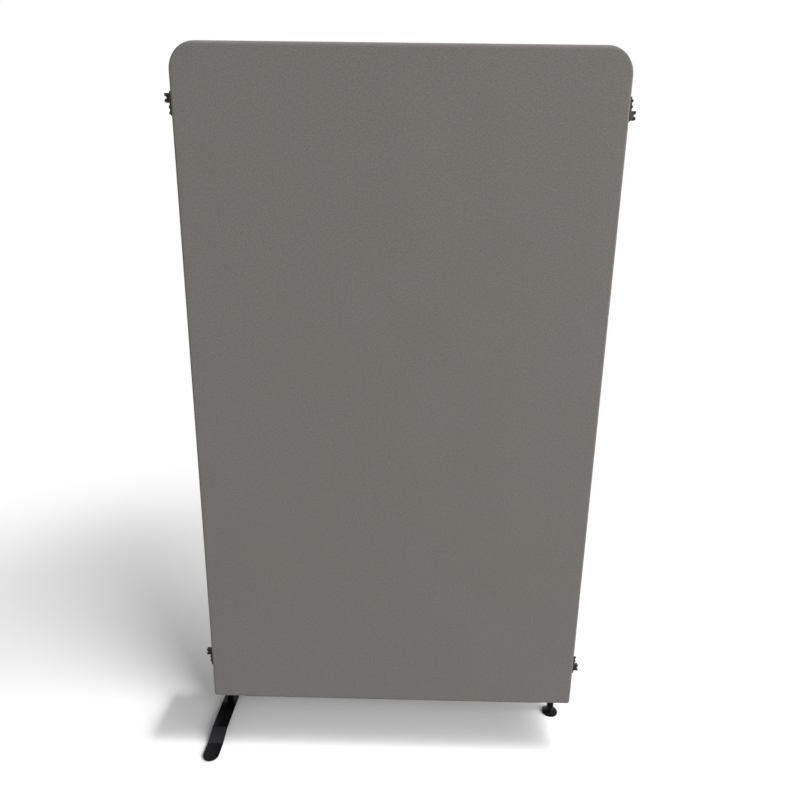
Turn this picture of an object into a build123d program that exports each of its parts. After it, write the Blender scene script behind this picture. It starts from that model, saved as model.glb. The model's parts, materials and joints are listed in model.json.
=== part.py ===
from build123d import *
import os

# Acoustic divider screen: a fabric-covered panel on a swivelling bar foot at
# the left and a levelling glide at the right, with clip connectors on both
# side edges that link it to the next screen.
# Origin on the floor under the middle of the panel. +X points to the right as
# seen from the front, +Y to the back, +Z up. All lengths are in millimetres.

# Panel
panel_width = 1000.0
panel_height = 1660.0
panel_thickness = 30.0
floor_gap = 40.0
top_corner_radius = 59.0
bottom_corner_radius = 7.5
cover_edge_radius = 6.0

# Cover and padding
cover_thickness = 1.0
cover_ease = 0.3
wadding_thickness = 3.7
core_ease = 0.3

# Timber frame
stile_width = 45.0
top_rail_height = 45.0
middle_rail_height = 45.0
bottom_rail_height = 70.0
corner_block_size = 90.0
window_corner_radius = 14.0

# Dowels that join the timber
dowel_radius = 4.0
dowel_length = 40.0
dowel_spacing = 22.0
dowel_chamfer = 1.0
dowel_fit = 0.05
dowel_end_gap = 1.0

# Strip that clamps the hems of the cover under the bottom rail
strip_width = 20.0
strip_thickness = 2.0
strip_end_gap = 16.0
strip_screw_count = 7
strip_screw_end = 25.0

# Wood screws
screw_radius = 1.75
screw_length = 16.0
screw_point_length = 4.0
screw_point_share = 0.15
screw_head_radius = 3.4
pan_head_height = 2.2
pan_head_edge = 0.9
recess_width = 0.9
recess_span = 3.6
recess_depth = 1.2
screw_fit = 0.05

# Connectors on the side edges
connector_end_distance = 124.0
plate_height = 50.0
plate_width = 22.0
plate_thickness = 2.8
plate_corner_radius = 3.0
plate_edge_radius = 0.7
connector_screw_spacing = 12.5
clip_offset = 12.2
pin_radius = 2.0
pin_reach = 7.3
pin_length = 6.0
pin_end_chamfer = 0.9
pin_rib_width = 2.2
pin_bridge_height = 7.0
jaw_fit = 0.05
jaw_wall = 2.3
jaw_reach = 14.7
jaw_length = 6.6
jaw_pitch = 12.0
jaw_tip_radius = 1.8
jaw_mouth_angle = 142.0
web_reach = 11.9
web_width = 6.6
web_root_width = 9.5
web_root_radius = 2.8
web_notch_radius = 2.2

# Supports under the bottom rail
foot_inset = 40.0
glide_inset = 50.0
bolt_radius = 4.0
thread_fit = 0.05
stem_radius = 9.0
stem_edge = 0.6
stem_bore_gap = 0.4
insert_radius = 6.0
insert_length = 25.0
insert_collar_radius = 7.5
insert_collar_height = 1.2
insert_fit = 0.05
cover_hole_gap = 0.4

# Bar foot
foot_length = 400.0
foot_width = 40.0
foot_thickness = 4.0
foot_step = 12.0
foot_bend_start = 103.0
foot_bend_end = 145.0
foot_bend_radius = 14.0
foot_edge_radius = 0.8
toe_pad_thickness = 1.5
toe_pad_inset = 3.0
turning_gap = 0.05
turning_fit = 0.05
slip_washer_thickness = 1.0
washer_radius = 8.0
washer_thickness = 1.6
bolt_engagement = 20.0
bolt_head_radius = 7.0
bolt_head_height = 4.4
bolt_head_dome = 2.0
bolt_socket_width = 5.0
bolt_socket_depth = 2.6

# Levelling glide
glide_radius = 21.0
glide_pad_thickness = 1.5
glide_pad_inset = 2.0
glide_rim_height = 3.0
glide_rim_round = 1.0
glide_hub_radius = 9.0
glide_hub_height = 9.0
glide_stud_seat = 2.5
lock_nut_width = 13.0
lock_nut_height = 4.0
lock_nut_gap = 3.0
stud_chamfer = 0.8

# Cuts run past their surface by this much
overrun = 1.0

# Places worked out from the sizes above
panel_half_width = panel_width / 2
panel_front = -panel_thickness / 2
panel_top = floor_gap + panel_height
frame_inset = cover_thickness + cover_ease
frame_depth = panel_thickness - 2 * (frame_inset + wadding_thickness)
frame_half_width = panel_half_width - frame_inset
frame_bottom = floor_gap + frame_inset
frame_top = panel_top - frame_inset
bottom_rail_top = frame_bottom + bottom_rail_height
top_rail_bottom = frame_top - top_rail_height
block_bottom = frame_top - corner_block_size
block_inner = frame_half_width - corner_block_size
stile_inner = frame_half_width - stile_width
stile_axis = frame_half_width - stile_width / 2
middle_axis = (bottom_rail_top + top_rail_bottom) / 2
foot_x = foot_inset - panel_half_width
glide_x = panel_half_width - glide_inset
jaw_radius = pin_radius + jaw_fit + jaw_wall
strip_end = glide_x - stem_radius - strip_end_gap
strip_under = floor_gap - strip_thickness

toe_bottom = toe_pad_thickness
bar_bottom = toe_bottom + foot_step
bar_top = bar_bottom + foot_thickness
slip_washer_bottom = bar_top + turning_gap
foot_stem_bottom = slip_washer_bottom + slip_washer_thickness
washer_top = bar_bottom - turning_gap
head_top = washer_top - washer_thickness

glide_base = glide_pad_thickness
glide_hub_top = glide_base + glide_hub_height
lock_nut_bottom = glide_hub_top + lock_nut_gap
glide_stem_bottom = lock_nut_bottom + lock_nut_height
stud_bottom = glide_base + glide_stud_seat
stud_top = frame_bottom + bolt_engagement


def box_between(low, high):
    # A box from its lowest to its highest corner.
    size = [b - a for a, b in zip(low, high)]
    return Pos(*low) * Box(*size, align=(Align.MIN, Align.MIN, Align.MIN))


def post(radius, bottom, top, x=0.0, y=0.0):
    # An upright cylinder between two heights.
    base = Pos(x, y, bottom)
    return base * Cylinder(radius, top - bottom, align=(Align.CENTER, Align.CENTER, Align.MIN))


def panel_outline(inset):
    # The panel seen from the front, drawn in by the inset all round.
    width = panel_width - 2 * inset
    height = panel_height - 2 * inset
    sketch = Pos(0, floor_gap + panel_height / 2) * Rectangle(width, height)
    corners = sketch.vertices().group_by(Axis.Y)
    sketch = fillet(corners[-1], top_corner_radius - inset)
    corners = sketch.vertices().group_by(Axis.Y)
    return fillet(corners[0], bottom_corner_radius - inset)


def front_slab(sketch, front, back):
    # A front-view sketch given thickness between two depths.
    return extrude(Plane.XZ.offset(-back) * sketch, back - front)


def rolled_slab(inset, front, back, radius):
    # A panel slab whose front edge is rolled over.
    slab = front_slab(panel_outline(inset), front, back)
    rim = slab.faces().sort_by(Axis.Y)[0].edges()
    return fillet(rim, radius)


def mirrored_to_back(solid):
    return mirror(solid, Plane.XZ)


# Timber frame

def dowel_places():
    # Every dowel: the middle of its joint line, then its direction.
    places = []
    for side in (-1, 1):
        for offset in (-dowel_spacing / 2, dowel_spacing / 2):
            places.append((side * stile_axis + offset, bottom_rail_top, "up"))
            places.append((side * stile_axis + offset, block_bottom, "up"))
            places.append((side * block_inner, frame_top - top_rail_height / 2 + offset, "across"))
            places.append((side * stile_inner, middle_axis + offset, "across"))
    return places


def dowel_rods(radius, length):
    rods = []
    for x, z, direction in dowel_places():
        turn = Rotation(0, 0, 0) if direction == "up" else Rotation(0, 90, 0)
        rods.append(Pos(x, 0, z) * turn * Cylinder(radius, length))
    return rods


def frame_dowels():
    dowels = []
    for rod in dowel_rods(dowel_radius, dowel_length):
        dowels.append(chamfer(rod.edges().filter_by(GeomType.CIRCLE), dowel_chamfer))
    return dowels


def drilled(timber):
    # Timber with the dowel holes that reach it.
    holes = dowel_rods(dowel_radius + dowel_fit, dowel_length + 2 * dowel_end_gap)
    return timber - holes


def frame_piece(left, right, bottom, top):
    # A piece of the frame between two widths and two heights, 0 in depth at its middle.
    outline = panel_outline(frame_inset)
    window = Pos((left + right) / 2, (bottom + top) / 2) * Rectangle(right - left, top - bottom)
    return front_slab(outline & window, -frame_depth / 2, frame_depth / 2)


def stile(side):
    low, high = sorted((side * stile_inner, side * frame_half_width))
    timber = drilled(frame_piece(low, high, bottom_rail_top, block_bottom))
    return timber - connector_screw_holes()


def top_rail():
    return drilled(frame_piece(-block_inner, block_inner, top_rail_bottom, frame_top))


def middle_rail():
    half = middle_rail_height / 2
    return drilled(frame_piece(-stile_inner, stile_inner, middle_axis - half, middle_axis + half))


def bottom_rail():
    rail = frame_piece(-frame_half_width, frame_half_width, frame_bottom, bottom_rail_top)
    rail = drilled(rail) - strip_screw_holes()
    for x in (foot_x, glide_x):
        hole_top = frame_bottom + insert_length + dowel_end_gap
        rail -= post(insert_radius + insert_fit, frame_bottom - overrun, hole_top, x)
        collar_top = frame_bottom + insert_collar_height + insert_fit
        rail -= post(insert_collar_radius + insert_fit, frame_bottom - overrun, collar_top, x)
    return rail


def corner_block(side):
    # A quarter of a picture frame: round outside, with a small round inside.
    low, high = sorted((side * block_inner, side * frame_half_width))
    block = frame_piece(low, high, block_bottom, frame_top)
    inside_width = stile_inner - block_inner + overrun
    inside_height = top_rail_bottom - block_bottom + overrun
    middle_x = side * (stile_inner - inside_width / 2)
    middle_z = top_rail_bottom - inside_height / 2
    inside = Pos(middle_x, middle_z) * Rectangle(inside_width, inside_height)
    corner = inside.vertices().group_by(Axis.Y)[-1].sort_by(Axis.X)[0 if side < 0 else -1]
    inside = fillet(corner, window_corner_radius)
    block -= front_slab(inside, -frame_depth / 2 - overrun, frame_depth / 2 + overrun)
    return drilled(block)


# Acoustic filling

def core(bottom, top, round_top):
    # A slab of absorber that fills one window of the frame.
    width = 2 * (stile_inner - core_ease)
    height = top - bottom - 2 * core_ease
    sketch = Pos(0, (bottom + top) / 2) * Rectangle(width, height)
    if round_top:
        sketch = fillet(sketch.vertices().group_by(Axis.Y)[-1], window_corner_radius)
    return front_slab(sketch, -frame_depth / 2, frame_depth / 2)


def lower_core():
    return core(bottom_rail_top, middle_axis - middle_rail_height / 2, False)


def upper_core():
    return core(middle_axis + middle_rail_height / 2, top_rail_bottom, True)


def front_wadding():
    # A sheet of soft wadding glued to the frame and filling, its edge rolled over.
    front = panel_front + frame_inset
    whole = rolled_slab(frame_inset, front, 0, cover_edge_radius - frame_inset)
    return whole - front_slab(panel_outline(0), -frame_depth / 2, overrun)


def front_cover():
    # Fabric over the front face and half of every edge, down to the seam.
    outer = rolled_slab(0, panel_front, 0, cover_edge_radius)
    inner_front = panel_front + cover_thickness
    inner_radius = cover_edge_radius - cover_thickness
    cavity = rolled_slab(cover_thickness, inner_front, 0, inner_radius)
    cover = outer - cavity
    for x in (foot_x, glide_x):
        cover -= post(stem_radius + cover_hole_gap, floor_gap - overrun, frame_bottom, x)
    cover -= strip_screw_holes()
    return cover - connector_screw_holes()


# Wood screws, made pointing along -Z from the level of the plate or strip

def cone(bottom_radius, top_radius, bottom, top):
    # An upright cone between two heights.
    base = (Align.CENTER, Align.CENTER, Align.MIN)
    return Pos(0, 0, bottom) * Cone(bottom_radius, top_radius, top - bottom, align=base)


def screw_shank(top):
    straight = screw_length - screw_point_length
    shank = post(screw_radius, -straight, top)
    tip_radius = screw_radius * screw_point_share
    return shank + cone(tip_radius, screw_radius, -screw_length, -straight)


def cross_recess(top):
    # The cross-shaped drive in a screw head.
    slot = Box(recess_span, recess_width, recess_depth, align=(Align.CENTER, Align.CENTER, Align.MAX))
    return Pos(0, 0, top) * (slot + Rotation(0, 0, 90) * slot)


def pan_head_screw():
    head = post(screw_head_radius, 0, pan_head_height)
    head = chamfer(head.edges().sort_by(Axis.Z)[-1], pan_head_edge)
    return head + screw_shank(0) - cross_recess(pan_head_height)


def countersunk_screw():
    # The cone of the head is as deep as it widens, so it is a 90 degree head.
    depth = screw_head_radius - screw_radius
    head = cone(screw_radius, screw_head_radius, -depth, 0)
    return head + screw_shank(-depth) - cross_recess(0)


def strip_screw_places():
    span = 2 * (strip_end - strip_screw_end)
    step = span / (strip_screw_count - 1)
    return [-span / 2 + step * index for index in range(strip_screw_count)]


def strip_screws():
    turned = Rotation(180, 0, 0)
    return [Pos(x, 0, strip_under) * turned * pan_head_screw() for x in strip_screw_places()]


def strip_screw_holes():
    low = strip_under - overrun
    high = strip_under + screw_length + overrun
    return [post(screw_radius + screw_fit, low, high, x) for x in strip_screw_places()]


def bottom_strip():
    # A flat strip with round ends over the meeting hems of the cover.
    plan = SlotOverall(2 * strip_end, strip_width)
    strip = Pos(0, 0, strip_under) * extrude(plan, strip_thickness)
    return strip - strip_screw_holes()


# Connectors. Each is made with its plate on x = 0, facing +X, jaws above pins.

def jaw_profile():
    # Seen from above: a ring open to the front on a neck that widens to its root.
    outer = Pos(jaw_reach, 0) * Circle(jaw_radius)
    neck = Polygon(
        (0, -web_root_width / 2),
        (web_reach, -web_width / 2),
        (jaw_reach, -web_width / 2),
        (jaw_reach, web_width / 2),
        (web_reach, web_width / 2),
        (0, web_root_width / 2),
        align=None)
    mouth_length = jaw_radius + overrun
    edge_up = Vector(mouth_length, 0).rotate(Axis.Z, jaw_mouth_angle / 2)
    edge_down = Vector(mouth_length, 0).rotate(Axis.Z, -jaw_mouth_angle / 2)
    mouth = Pos(jaw_reach, 0) * Polygon(
        (0, 0),
        (edge_down.X, edge_down.Y),
        (mouth_length, edge_down.Y),
        (mouth_length, edge_up.Y),
        (edge_up.X, edge_up.Y),
        align=None)
    bore = Pos(jaw_reach, 0) * Circle(pin_radius + jaw_fit)
    return outer + neck - mouth - bore


def jaw_side_view():
    # Seen from the front: two round-tipped horns with a round notch between,
    # on a web that sweeps out on to the plate.
    half = (jaw_pitch + jaw_length) / 2
    view = Rectangle(web_reach, 2 * half, align=(Align.MIN, Align.CENTER))
    tip = jaw_reach + Vector(jaw_radius, 0).rotate(Axis.Z, jaw_mouth_angle / 2).X
    horn = Rectangle(tip, jaw_length, align=(Align.MIN, Align.CENTER))
    horn = fillet(horn.vertices().group_by(Axis.X)[-1], jaw_tip_radius)
    for side in (-1, 1):
        view += Pos(0, side * jaw_pitch / 2) * horn
    notch = view.vertices().filter_by(lambda point: abs(point.Y) < jaw_pitch / 2)
    view = fillet(notch.group_by(Axis.X)[0], web_notch_radius)
    for side in (-1, 1):
        view += Pos(plate_thickness, side * half) * sweep_corner(side)
    return view


def sweep_corner(side):
    # The hollow corner between the plate and one end of the web.
    middle = Pos(web_root_radius / 2, side * web_root_radius / 2)
    hollow = Pos(web_root_radius, side * web_root_radius) * Circle(web_root_radius)
    return middle * Rectangle(web_root_radius, web_root_radius) - hollow


def pin():
    # An upright pin with chamfered ends, carried on a narrow rib.
    rod = Cylinder(pin_radius, pin_length)
    rod = chamfer(rod.edges().filter_by(GeomType.CIRCLE), pin_end_chamfer)
    rib_length = pin_length - 2 * pin_end_chamfer
    base = (Align.MIN, Align.CENTER, Align.CENTER)
    return Pos(pin_reach, 0, 0) * rod + Box(pin_reach, pin_rib_width, rib_length, align=base)


def connector_plate():
    plan = RectangleRounded(plate_width, plate_height, plate_corner_radius)
    plate = extrude(Plane.YZ * plan, plate_thickness)
    return fillet(plate.faces().sort_by(Axis.X)[-1].edges(), plate_edge_radius)


def countersink():
    # The seat of a screw head, with the way in above it for the driver.
    mouth = screw_head_radius + screw_fit
    depth = mouth - screw_radius
    seat = cone(screw_radius, mouth, -depth, 0) + post(mouth, 0, jaw_reach)
    return seat + screw_hole()


def screw_hole():
    return post(screw_radius + screw_fit, -screw_length - overrun, 0)


def screw_seats():
    # The two screw places on a plate, pointing out of it.
    half = connector_screw_spacing / 2
    return [Pos(plate_thickness, y, 0) * Rotation(0, 90, 0) for y in (-half, half)]


def connector():
    height = jaw_pitch + jaw_length + 2 * web_root_radius
    jaws = Pos(0, 0, clip_offset - height / 2) * extrude(jaw_profile(), height)
    side = Pos(0, clip_offset) * jaw_side_view()
    jaws = jaws & front_slab(side, -web_root_width, web_root_width)
    body = connector_plate() + jaws
    for offset in (-jaw_pitch / 2, jaw_pitch / 2):
        body += Pos(0, 0, offset - clip_offset) * pin()
    low = (0, -pin_rib_width / 2, -clip_offset - jaw_pitch / 2)
    high = (pin_bridge_height, pin_rib_width / 2, clip_offset - jaw_pitch / 2)
    body += box_between(low, high)
    return body - [seat * countersink() for seat in screw_seats()]


def connector_frames():
    # The four places: jaws above pins at the left, turned over at the right.
    frames = {}
    heights = {"top": panel_top - connector_end_distance, "bottom": floor_gap + connector_end_distance}
    for level, z in heights.items():
        frames["left_" + level] = Pos(-panel_half_width, 0, z) * Rotation(0, 0, 180)
        frames["right_" + level] = Pos(panel_half_width, 0, z) * Rotation(180, 0, 0)
    return frames


def connector_screws():
    frames = connector_frames().values()
    return [frame * seat * countersunk_screw() for frame in frames for seat in screw_seats()]


def connector_screw_holes():
    frames = connector_frames().values()
    return [frame * seat * screw_hole() for frame in frames for seat in screw_seats()]


# Supports

def threaded_insert(x):
    body = post(insert_radius, frame_bottom, frame_bottom + insert_length, x)
    body += post(insert_collar_radius, frame_bottom, frame_bottom + insert_collar_height, x)
    bore = post(bolt_radius + thread_fit, frame_bottom - overrun, frame_bottom + insert_length + overrun, x)
    return body - bore


def stem(x, bottom):
    # A round sleeve between the rail and what stands under it.
    sleeve = post(stem_radius, bottom, frame_bottom, x)
    sleeve = chamfer(sleeve.edges().filter_by(GeomType.CIRCLE).sort_by(Axis.Z)[0], stem_edge)
    return sleeve - post(bolt_radius + stem_bore_gap, bottom - overrun, frame_bottom + overrun, x)


def foot_side_view():
    # The bent strip seen from the side, along its middle line.
    low = toe_bottom + foot_thickness / 2
    high = bar_bottom + foot_thickness / 2
    line = FilletPolyline(
        (-foot_length / 2, low),
        (-foot_bend_end, low),
        (-foot_bend_start, high),
        (foot_bend_start, high),
        (foot_bend_end, low),
        (foot_length / 2, low),
        radius=foot_bend_radius)
    return trace(line, foot_thickness)


def foot_bar():
    # Flat strip with round ends, stepped down to the floor at both toes.
    side = extrude(Plane.YZ * foot_side_view(), foot_width, both=True)
    plan = extrude(Rotation(0, 0, 90) * SlotOverall(foot_length, foot_width), bar_top + overrun)
    bar = side & plan
    walls = bar.faces().filter_by(lambda face: abs(face.normal_at().Z) < 0.5)
    bar = fillet(walls.edges().filter_by(Axis.Z, reverse=True), foot_edge_radius)
    bar -= post(bolt_radius + turning_fit, 0, bar_top + overrun)
    return Pos(foot_x, 0, 0) * bar


def toe_pad(side):
    # A thin pad under the flat part of one toe.
    plan = SlotOverall(foot_length - 2 * toe_pad_inset, foot_width - 2 * toe_pad_inset)
    pad = extrude(Rotation(0, 0, 90) * plan, toe_pad_thickness)
    inner = foot_bend_end + toe_pad_inset
    keep = sorted((side * inner, side * foot_length / 2))
    region = box_between((-foot_width / 2, keep[0], 0), (foot_width / 2, keep[1], toe_pad_thickness))
    return Pos(foot_x, 0, 0) * (pad & region)


def washer(radius, bottom, thickness, bore_gap):
    ring = post(radius, bottom, bottom + thickness, foot_x)
    return ring - post(bolt_radius + bore_gap, bottom - overrun, bottom + thickness + overrun, foot_x)


def foot_bolt():
    # A button-head bolt, put in from below, with a hexagon socket.
    bolt = post(bolt_radius, head_top, frame_bottom + bolt_engagement)
    bolt = chamfer(bolt.edges().filter_by(GeomType.CIRCLE).sort_by(Axis.Z)[-1], stud_chamfer)
    head = post(bolt_head_radius, head_top - bolt_head_height, head_top)
    head = fillet(head.edges().filter_by(GeomType.CIRCLE).sort_by(Axis.Z)[0], bolt_head_dome)
    hexagon = RegularPolygon(bolt_socket_width / 2, 6, major_radius=False)
    socket = extrude(hexagon, bolt_socket_depth + overrun)
    bolt = bolt + head - Pos(0, 0, head_top - bolt_head_height - overrun) * socket
    return Pos(foot_x, 0, 0) * bolt


def glide_disc():
    # A round foot whose top sweeps up from the rim to a hub.
    rim_top = glide_base + glide_rim_height
    with BuildSketch(Plane.XZ) as half:
        with BuildLine():
            Line((0, glide_base), (glide_radius, glide_base))
            Line((glide_radius, glide_base), (glide_radius, rim_top))
            Line((glide_radius, rim_top), (glide_hub_radius, glide_hub_top))
            Line((glide_hub_radius, glide_hub_top), (0, glide_hub_top))
            Line((0, glide_hub_top), (0, glide_base))
        make_face()
        rim = half.vertices().sort_by_distance((glide_radius, rim_top))[0]
        fillet(rim, glide_rim_round)
    disc = revolve(half.sketch, Axis.Z)
    disc -= post(bolt_radius + thread_fit, stud_bottom, glide_hub_top + overrun)
    return Pos(glide_x, 0, 0) * disc


def glide_pad():
    return post(glide_radius - glide_pad_inset, 0, glide_pad_thickness, glide_x)


def glide_stud():
    stud = post(bolt_radius, stud_bottom, stud_top)
    stud = chamfer(stud.edges().filter_by(GeomType.CIRCLE), stud_chamfer)
    return Pos(glide_x, 0, 0) * stud


def glide_lock_nut():
    nut = extrude(RegularPolygon(lock_nut_width / 2, 6, major_radius=False), lock_nut_height)
    nut = Pos(glide_x, 0, lock_nut_bottom) * nut
    return nut - post(bolt_radius + turning_fit, 0, glide_stem_bottom + overrun, glide_x)


def make_nodes():
    nodes = {
        "left_stile": stile(-1),
        "right_stile": stile(1),
        "top_rail": top_rail(),
        "middle_rail": middle_rail(),
        "bottom_rail": bottom_rail(),
        "left_corner_block": corner_block(-1),
        "right_corner_block": corner_block(1),
        "frame_dowels": frame_dowels(),
        "upper_core": upper_core(),
        "lower_core": lower_core(),
        "front_wadding": front_wadding(),
        "rear_wadding": mirrored_to_back(front_wadding()),
        "front_cover": front_cover(),
        "rear_cover": mirrored_to_back(front_cover()),
        "bottom_strip": bottom_strip(),
        "strip_screws": strip_screws(),
        "connector_screws": connector_screws(),
        "foot_insert": threaded_insert(foot_x),
        "foot_stem": stem(foot_x, foot_stem_bottom),
        "foot_slip_washer": washer(stem_radius, slip_washer_bottom, slip_washer_thickness, stem_bore_gap),
        "foot_bar": foot_bar(),
        "foot_washer": washer(washer_radius, head_top, washer_thickness, stem_bore_gap),
        "foot_bolt": foot_bolt(),
        "front_toe_pad": toe_pad(-1),
        "rear_toe_pad": toe_pad(1),
        "glide_insert": threaded_insert(glide_x),
        "glide_stem": stem(glide_x, glide_stem_bottom),
        "glide_lock_nut": glide_lock_nut(),
        "glide_stud": glide_stud(),
        "glide_disc": glide_disc(),
        "glide_pad": glide_pad(),
    }
    for place, frame in connector_frames().items():
        nodes[place + "_connector"] = frame * connector()
    return nodes


def main():
    os.makedirs("parts", exist_ok=True)
    for name, shape in make_nodes().items():
        solids = shape if isinstance(shape, list) else shape.solids()
        group = Compound(children=[Solid(solid.solid().wrapped) for solid in solids])
        group.label = name
        export_step(group, "parts/" + name + ".step")


main()
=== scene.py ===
import json
import math

import bpy
import numpy as np
from mathutils import Matrix, Vector

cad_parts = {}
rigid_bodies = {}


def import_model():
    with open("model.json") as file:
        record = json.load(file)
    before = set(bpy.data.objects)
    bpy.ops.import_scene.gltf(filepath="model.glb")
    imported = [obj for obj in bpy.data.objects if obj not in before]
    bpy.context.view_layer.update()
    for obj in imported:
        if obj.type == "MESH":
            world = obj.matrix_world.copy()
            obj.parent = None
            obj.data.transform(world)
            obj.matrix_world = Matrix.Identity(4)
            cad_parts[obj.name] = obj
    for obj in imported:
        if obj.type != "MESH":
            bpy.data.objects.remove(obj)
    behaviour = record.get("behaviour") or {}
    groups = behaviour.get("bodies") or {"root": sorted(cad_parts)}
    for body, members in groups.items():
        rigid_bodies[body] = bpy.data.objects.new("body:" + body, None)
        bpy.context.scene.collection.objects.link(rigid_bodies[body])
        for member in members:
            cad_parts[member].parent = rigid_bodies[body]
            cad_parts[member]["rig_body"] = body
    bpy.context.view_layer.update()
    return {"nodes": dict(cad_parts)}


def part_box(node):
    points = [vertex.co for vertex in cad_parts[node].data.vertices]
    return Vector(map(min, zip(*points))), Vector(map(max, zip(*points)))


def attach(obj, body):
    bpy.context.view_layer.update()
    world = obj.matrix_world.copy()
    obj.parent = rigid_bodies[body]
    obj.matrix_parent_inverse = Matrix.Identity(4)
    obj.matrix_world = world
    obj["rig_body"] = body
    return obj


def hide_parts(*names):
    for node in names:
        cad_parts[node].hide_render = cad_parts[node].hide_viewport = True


# Acoustic divider screen, dressed over its CAD frame. Metres, +Z up, the floor at z = 0.
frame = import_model()
print("frame loaded,", len(frame["nodes"]), "nodes")


# Camera, at the photograph's place

camera = {
    "place": (0.0278, -1.4588, 1.2978),
    "pitchDown": 14.862,        # degrees, as the next two
    "yaw": 0.669,
    "roll": 0.876,
    "focalPixels": 610.0,
    "imagePixels": 800.0,
    "sensor": 36.0,             # millimetres
    "sees": (0.05, 200.0),
}


def placeCamera(want):
    # The camera looks along +Y, then turns by yaw, pitch and roll, in that order.
    data = bpy.data.cameras.new("camera")
    data.sensor_width = want["sensor"]
    data.lens = want["focalPixels"] / want["imagePixels"] * want["sensor"]
    data.clip_start, data.clip_end = want["sees"]
    pitch, yaw, roll = (math.radians(want[key]) for key in ("pitchDown", "yaw", "roll"))
    level = Matrix(((1, 0, 0), (0, 0, -1), (0, 1, 0)))  # its rows are right, down and ahead
    turned = (Matrix.Rotation(roll, 3, "Z") @ Matrix.Rotation(pitch, 3, "X")
              @ Matrix.Rotation(yaw, 3, "Y") @ level)
    right, down, ahead = turned
    basis = Matrix((right, -down, -ahead)).transposed().to_4x4()
    held = bpy.data.objects.new("camera", data)
    bpy.context.collection.objects.link(held)
    held.matrix_world = Matrix.Translation(want["place"]) @ basis
    bpy.context.scene.camera = held


placeCamera(camera)


# Lamps and world. At level 1 and square on, a lamp shows a colour as it is written.

lights = {
    "lamps": {
        "key": {"toLight": (0.757, -0.42, 0.50), "away": 18.0, "across": 17.0, "level": 2.05},
        "overhead": {"toLight": (0.0, 0.12, 1.0), "angle": 60.0, "level": 0.08},
        "low": {"toLight": (0.0, -1.0, -0.18), "away": 2.4, "across": 1.3, "level": 0.155},
        "left": {"toLight": (-1.0, 0.10, 0.10), "angle": 30.0, "level": 0.26},
        "back": {"toLight": (0.22, 1.0, 0.10), "angle": 30.0, "level": 0.50},
    },
    "aim": (0.0, 0.0, 0.8),
    "sunsAway": 5.0,
    "ambient": 0.14,
}


def addLamp(name, want, shared):
    # A lamp with a distance is a disk, whose power grows with its distance squared. One
    # with an angle is a sun.
    toLight = Vector(want["toLight"]).normalized()
    if "away" in want:
        data = bpy.data.lights.new(name, "AREA")
        data.shape, data.size = "DISK", want["across"]
        data.energy = want["level"] * math.pi ** 2 * want["away"] ** 2
    else:
        data = bpy.data.lights.new(name, "SUN")
        data.angle = math.radians(want["angle"])
        data.energy = want["level"] * math.pi
    lamp = bpy.data.objects.new(name, data)
    bpy.context.collection.objects.link(lamp)
    lamp.rotation_mode = "QUATERNION"
    lamp.rotation_quaternion = toLight.to_track_quat("Z", "Y")
    lamp.location = Vector(shared["aim"]) + toLight * want.get("away", shared["sunsAway"])
    lamp.visible_camera = False


for lampName, lampWant in lights["lamps"].items():
    addLamp(lampName, lampWant, lights)


def opaque(colour):
    return tuple(colour) + (1.0,)


def grey(level):
    return (level, level, level, 1.0)


class Wire:
    # A socket of a node tree. Sums on it add Math nodes, and node() adds any other node.

    def __init__(self, tree, socket=None):
        self.tree = tree
        self.socket = socket

    def node(self, kind, settings=None, values=None, out=0):
        made = self.tree.nodes.new("ShaderNode" + kind)
        for name, value in (settings or {}).items():
            if name == "stops":
                while len(made.color_ramp.elements) < len(value):
                    made.color_ramp.elements.new(1.0)
                for stop, (place, colour) in zip(made.color_ramp.elements, value):
                    stop.position, stop.color = place, colour
            else:
                setattr(made, name, value)
        for name, value in (values or {}).items():
            if isinstance(value, Wire):
                self.tree.links.new(value.socket, made.inputs[name])
            else:
                made.inputs[name].default_value = value
        return Wire(self.tree, made.outputs[out] if len(made.outputs) else None)

    def also(self, out):  # another output of the same node
        return Wire(self.tree, self.socket.node.outputs[out])

    def parts(self):  # x, y and z of a vector
        x = self.node("SeparateXYZ", {}, {0: self})
        return x, x.also(1), x.also(2)

    def maths(self, operation, *others):
        return self.node("Math", {"operation": operation}, dict(enumerate((self,) + others)))

    def __add__(self, other):
        return self.maths("ADD", other)

    def __sub__(self, other):
        return self.maths("SUBTRACT", other)

    def __rsub__(self, other):
        return self.node("Math", {"operation": "SUBTRACT"}, {0: other, 1: self})

    def __mul__(self, other):
        return self.maths("MULTIPLY", other)

    def __truediv__(self, other):
        return self.maths("DIVIDE", other)

    def __pow__(self, other):
        return self.maths("POWER", other)

    __radd__ = __add__
    __rmul__ = __mul__

    def step(self, low, high):  # 0 below low, 1 above high, smooth between
        values = {"Value": self, "From Min": low, "From Max": high}
        return self.node("MapRange", {"interpolation_type": "SMOOTHSTEP"}, values)

    def noise(self, turns, detail=2.0, roughness=0.5, stretch=(1.0, 1.0, 1.0)):
        # Turns are how often the noise changes in a metre.
        placed = self.node("Mapping", {}, {"Vector": self, "Scale": stretch})
        values = {"Vector": placed, "Scale": turns, "Detail": detail, "Roughness": roughness}
        return self.node("TexNoise", {}, values)

    def blend(self, low, high, factor, how):  # 6, 7 and 2 are a Mix node's colour sockets
        low, high = (each if isinstance(each, Wire) else opaque(each) for each in (low, high))
        settings = {"data_type": "RGBA", "blend_type": how}
        return self.node("Mix", settings, {0: factor, 6: low, 7: high}, 2)

    def mix(self, low, high):  # this factor between two colours
        return self.blend(low, high, self, "MIX")

    def tinted(self, tint):  # this colour times another
        return self.blend(self, tint, 1.0, "MULTIPLY")

    def bump(self, height, normal=None):  # 0 to 1 stands for none to that many metres
        values = {"Height": self, "Distance": height, "Strength": 1.0}
        if normal is not None:
            values["Normal"] = normal
        return self.node("Bump", {}, values)


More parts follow.
